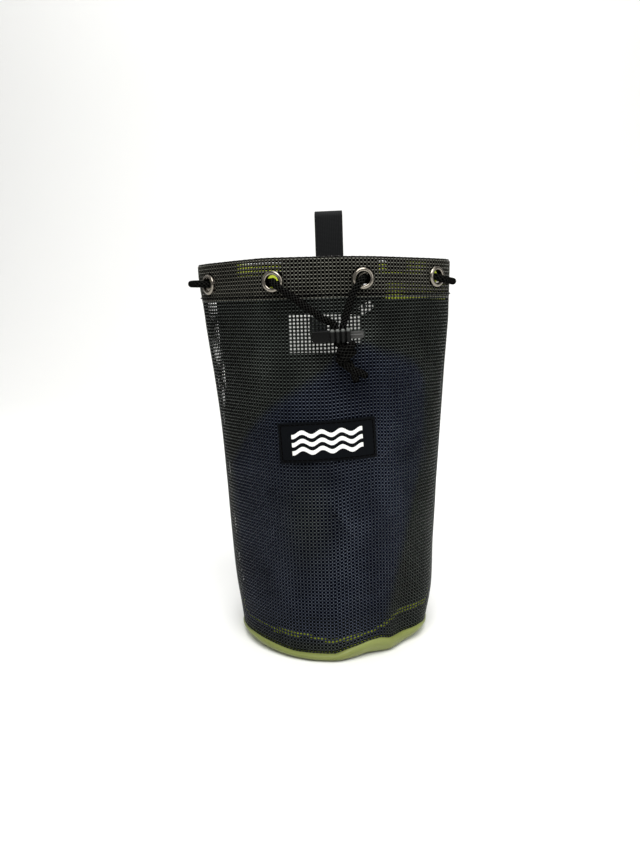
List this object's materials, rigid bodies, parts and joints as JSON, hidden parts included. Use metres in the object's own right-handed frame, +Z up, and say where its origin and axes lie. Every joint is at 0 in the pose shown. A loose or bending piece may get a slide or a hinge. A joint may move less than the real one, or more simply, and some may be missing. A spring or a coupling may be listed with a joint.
{
  "type": "mesh drawcord belt pouch",
  "caption": "Tall open-topped mesh pouch with a round coated base, drawcord mouth with eyelets and a cord lock, a webbing belt loop and a foam float inside.",
  "frame": {"origin": "middle of the round base, on the ground that it stands on", "axes": "+Z up from the base to the mouth, -Y towards the front with the cord lock, +Y towards the belt loop"},
  "size_m": [0.1766, 0.1444, 0.288],
  "materials": {
    "mesh": "vinyl-coated open mesh",
    "hem": "doubled vinyl-coated mesh",
    "nickel": "nickel plate",
    "cord": "braided polyester",
    "lock": "moulded, satin",
    "plunger": "moulded, satin",
    "webbing": "woven tape",
    "lime": "vinyl-coated cloth, satin",
    "label": "woven label",
    "paper": "printed cloth label",
    "foam": "closed-cell foam"
  },
  "bodies": {
    "pouch": {"mesh_body": "mesh", "hem_band": "hem", "rim_facing": "lime", "eyelet_1": "nickel", "eyelet_2": "nickel", "eyelet_3": "nickel", "eyelet_4": "nickel", "eyelet_5": "nickel", "eyelet_6": "nickel", "eyelet_7": "nickel", "eyelet_8": "nickel", "drawcord": "cord", "cord_knot": "cord", "lock_barrel": "lock", "belt_loop": "webbing", "base_panel": "lime", "front_label": "label", "inner_label": "paper", "float_pad": "foam"},
    "plunger": {"lock_plunger": "plunger"}
  },
  "joints": [
    {"name": "plunger_press", "type": "slide", "parent": "pouch", "child": "plunger", "axis": [-0.9994, 0, -0.0349], "range_m": [0, 0.0025], "stiffness_N_per_m": 400, "springref_m": -0.004}
  ]
}
